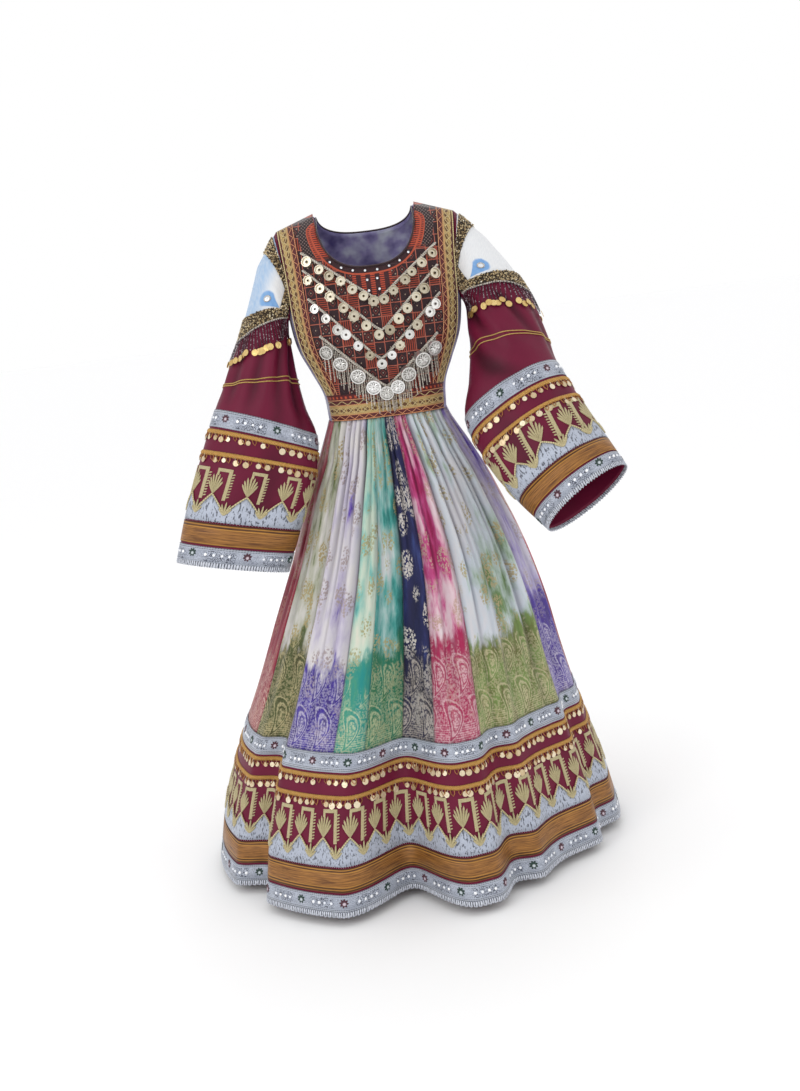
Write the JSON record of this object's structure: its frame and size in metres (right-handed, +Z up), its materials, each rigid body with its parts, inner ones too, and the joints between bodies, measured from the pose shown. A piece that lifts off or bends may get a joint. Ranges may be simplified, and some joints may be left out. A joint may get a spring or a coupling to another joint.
{
  "type": "kuchi dress",
  "caption": "Long gathered nomad dress, hollow as worn: panelled flared skirt with trimmed border, fitted bodice with coin strings, wide banded sleeves.",
  "frame": {"origin": "middle of the shoulder line, at the height where the neck opening meets the shoulders", "axes": "+Z up along the body, the front of the dress faces -Y, +X is on the right of someone who looks at the front"},
  "size_m": [0.9194, 0.8536, 1.326],
  "materials": {
    "lilac_cloth": "tie-dyed cotton, soft",
    "panel_cloth": "dark embroidered cotton, matt",
    "silver_coins": "stamped thin metal",
    "gold_braid": "gimp braid",
    "bronze_ribbon": "ribbon with metal thread",
    "silver_ribbon": "woven ribbon with metal thread",
    "rose_cloth": "brocaded thin cloth",
    "olive_cloth": "brocaded thin cloth",
    "violet_cloth": "tie-dyed thin cloth",
    "aqua_cloth": "tie-dyed thin cloth",
    "green_cloth": "tie-dyed thin cloth",
    "navy_cloth": "brocaded thin cloth",
    "pink_cloth": "tie-dyed thin cloth",
    "sage_cloth": "brocaded thin cloth",
    "lavender_cloth": "brocaded thin cloth",
    "pale_cloth": "tie-dyed thin cloth",
    "burgundy_satin": "satin, soft sheen",
    "binding": "cotton binding",
    "dark_beads": "small opaque beads and sequins",
    "gold_coins": "stamped thin metal and beads",
    "white_cloth": "printed cotton",
    "gold_stitch": "gold and orange couched stitching"
  },
  "bodies": {
    "root": {"bodice_back": "lilac_cloth", "bodice_front": "panel_cloth", "chest_fringe": "silver_coins", "coins_1": "silver_coins", "coins_2": "silver_coins", "coins_3": "silver_coins", "coins_4": "silver_coins", "cuff_braid_low_left": "gold_braid", "cuff_braid_low_right": "gold_braid", "cuff_braid_top_left": "gold_braid", "cuff_braid_top_right": "gold_braid", "cuff_bronze_left": "bronze_ribbon", "cuff_bronze_right": "bronze_ribbon", "cuff_silver_low_left": "silver_ribbon", "cuff_silver_low_right": "silver_ribbon", "cuff_silver_top_left": "silver_ribbon", "cuff_silver_top_right": "silver_ribbon", "cuff_zigzag_left": "silver_ribbon", "cuff_zigzag_right": "silver_ribbon", "gore_01_rose": "rose_cloth", "gore_02_olive": "olive_cloth", "gore_03_violet": "violet_cloth", "gore_04_aqua": "aqua_cloth", "gore_05_green": "green_cloth", "gore_06_navy": "navy_cloth", "gore_07_pink": "pink_cloth", "gore_08_sage": "sage_cloth", "gore_09_lilac": "lavender_cloth", "gore_10_back_rose": "rose_cloth", "gore_11_back_teal": "aqua_cloth", "gore_12_back_pale": "pale_cloth", "gore_13_back_navy": "navy_cloth", "gore_14_back_olive": "olive_cloth", "gore_15_back_pink": "pink_cloth", "gore_16_back_violet": "violet_cloth", "hem_braid_low": "gold_braid", "hem_braid_top": "gold_braid", "hem_bronze": "bronze_ribbon", "hem_panel_1": "burgundy_satin", "hem_panel_2": "burgundy_satin", "hem_panel_3": "burgundy_satin", "hem_panel_4": "burgundy_satin", "hem_panel_5": "burgundy_satin", "hem_silver_low": "silver_ribbon", "hem_silver_top": "silver_ribbon", "hem_zigzag": "silver_ribbon", "neck_binding": "binding", "patch_border_left": "dark_beads", "patch_border_right": "dark_beads", "shoulder_fringe_left": "gold_coins", "shoulder_fringe_right": "gold_coins", "shoulder_patch_left": "white_cloth", "shoulder_patch_right": "white_cloth", "side_band_left": "gold_stitch", "side_band_right": "gold_stitch", "sleeve_left": "burgundy_satin", "sleeve_right": "burgundy_satin", "waist_band": "gold_stitch"}
  },
  "joints": []
}
